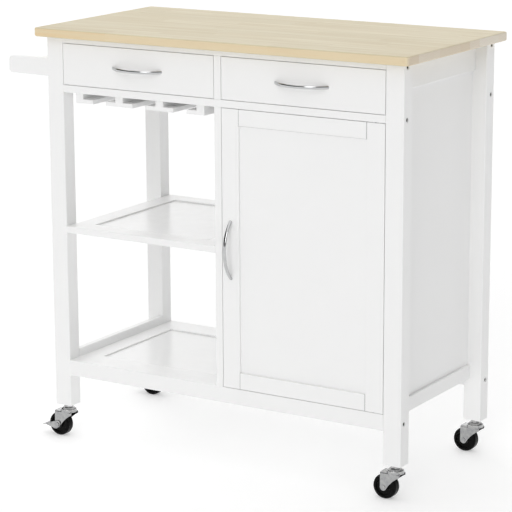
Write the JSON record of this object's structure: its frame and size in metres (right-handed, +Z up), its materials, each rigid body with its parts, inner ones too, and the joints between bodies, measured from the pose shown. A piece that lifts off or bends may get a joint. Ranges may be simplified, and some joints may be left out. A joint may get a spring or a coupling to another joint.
{
  "type": "butcher block table",
  "caption": "Rolling kitchen cart with a wooden worktop, drawers over a cupboard and open shelves, a stemware rack, a towel rail and swivel casters.",
  "frame": {"origin": "on the floor, under the middle of the outline of the whole cart with its towel rail and handles", "axes": "+X to the right along the worktop, +Y to the back, +Z up; the drawers and the door face -Y"},
  "size_m": [0.9496, 0.427, 0.872],
  "materials": {
    "white_paint": "white satin paint on wood board",
    "worktop_wood": "pale varnished glued staves",
    "chrome": "polished plate",
    "zinc_steel": "bright zinc plate",
    "black_wheel": "smooth black moulding",
    "catch_plastic": "white moulding"
  },
  "bodies": {
    "cart_frame": {"bottom_shelf_panel": "white_paint", "bottom_shelf_rails": "white_paint", "bottom_shelf_stiles": "white_paint", "caster_stems": "zinc_steel", "cupboard_back_panel": "white_paint", "cupboard_floor": "white_paint", "door_catch": "catch_plastic", "drawer_divider": "white_paint", "drawer_runners": "white_paint", "frame_bolts": "zinc_steel", "front_bottom_rail": "white_paint", "front_left_leg": "white_paint", "front_middle_rail": "white_paint", "front_right_leg": "white_paint", "front_top_rail": "white_paint", "inner_stem_rails": "white_paint", "left_lower_side_rail": "white_paint", "left_upper_side_rail": "white_paint", "middle_shelf_panel": "white_paint", "middle_shelf_rails": "white_paint", "middle_shelf_stiles": "white_paint", "outer_stem_rails": "white_paint", "partition_panel": "white_paint", "rear_apron": "white_paint", "rear_bottom_rail": "white_paint", "rear_left_leg": "white_paint", "rear_right_leg": "white_paint", "right_lower_side_rail": "white_paint", "right_side_panel": "white_paint", "right_upper_side_rail": "white_paint", "tabletop": "worktop_wood", "towel_arms": "white_paint", "towel_dowel": "white_paint"},
    "left_drawer": {"left_drawer_front": "white_paint", "left_drawer_sides": "white_paint", "left_drawer_back": "white_paint", "left_drawer_bottom": "white_paint", "left_drawer_handle": "chrome"},
    "right_drawer": {"right_drawer_front": "white_paint", "right_drawer_sides": "white_paint", "right_drawer_back": "white_paint", "right_drawer_bottom": "white_paint", "right_drawer_handle": "chrome"},
    "door": {"door_stiles": "white_paint", "door_rails": "white_paint", "door_panel": "white_paint", "door_handle": "chrome", "door_pivots": "zinc_steel", "door_catch_plate": "zinc_steel"},
    "front_left_caster": {"front_left_caster_fork": "zinc_steel"},
    "front_left_wheel": {"front_left_caster_wheel": "black_wheel"},
    "front_right_caster": {"front_right_caster_fork": "zinc_steel"},
    "front_right_wheel": {"front_right_caster_wheel": "black_wheel"},
    "rear_left_caster": {"rear_left_caster_fork": "zinc_steel"},
    "rear_left_wheel": {"rear_left_caster_wheel": "black_wheel"},
    "rear_right_caster": {"rear_right_caster_fork": "zinc_steel"},
    "rear_right_wheel": {"rear_right_caster_wheel": "black_wheel"},
    "front_left_brake": {"front_left_brake_lever": "zinc_steel"},
    "rear_left_brake": {"rear_left_brake_lever": "zinc_steel"}
  },
  "joints": [
    {"name": "left_drawer_slide", "type": "slide", "parent": "cart_frame", "child": "left_drawer", "axis": [0, -1, 0], "range_m": [0, 0.24]},
    {"name": "right_drawer_slide", "type": "slide", "parent": "cart_frame", "child": "right_drawer", "axis": [0, -1, 0], "range_m": [0, 0.24]},
    {"name": "door_hinge", "type": "hinge", "parent": "cart_frame", "child": "door", "pos_m": [0.39625, -0.1825, 0.457], "axis": [0, 0, 1], "range_deg": [0, 105]},
    {"name": "front_left_swivel", "type": "hinge", "parent": "cart_frame", "child": "front_left_caster", "pos_m": [-0.34925, -0.1705, 0.056], "axis": [0, 0, 1], "continuous": true},
    {"name": "front_left_wheel_spin", "type": "hinge", "parent": "front_left_caster", "child": "front_left_wheel", "pos_m": [-0.36925, -0.1705, 0.025], "axis": [0, 1, 0], "continuous": true},
    {"name": "front_left_brake_press", "type": "hinge", "parent": "front_left_caster", "child": "front_left_brake", "pos_m": [-0.36925, -0.1705, 0.025], "axis": [0, -1, 0], "range_deg": [0, 20]},
    {"name": "front_right_swivel", "type": "hinge", "parent": "cart_frame", "child": "front_right_caster", "pos_m": [0.43675, -0.1705, 0.056], "axis": [0, 0, 1], "continuous": true},
    {"name": "front_right_wheel_spin", "type": "hinge", "parent": "front_right_caster", "child": "front_right_wheel", "pos_m": [0.41675, -0.1705, 0.025], "axis": [0, 1, 0], "continuous": true},
    {"name": "rear_left_swivel", "type": "hinge", "parent": "cart_frame", "child": "rear_left_caster", "pos_m": [-0.34925, 0.1755, 0.056], "axis": [0, 0, 1], "continuous": true},
    {"name": "rear_left_wheel_spin", "type": "hinge", "parent": "rear_left_caster", "child": "rear_left_wheel", "pos_m": [-0.36925, 0.1755, 0.025], "axis": [0, 1, 0], "continuous": true},
    {"name": "rear_left_brake_press", "type": "hinge", "parent": "rear_left_caster", "child": "rear_left_brake", "pos_m": [-0.36925, 0.1755, 0.025], "axis": [0, -1, 0], "range_deg": [0, 20]},
    {"name": "rear_right_swivel", "type": "hinge", "parent": "cart_frame", "child": "rear_right_caster", "pos_m": [0.43675, 0.1755, 0.056], "axis": [0, 0, 1], "continuous": true},
    {"name": "rear_right_wheel_spin", "type": "hinge", "parent": "rear_right_caster", "child": "rear_right_wheel", "pos_m": [0.41675, 0.1755, 0.025], "axis": [0, 1, 0], "continuous": true}
  ]
}
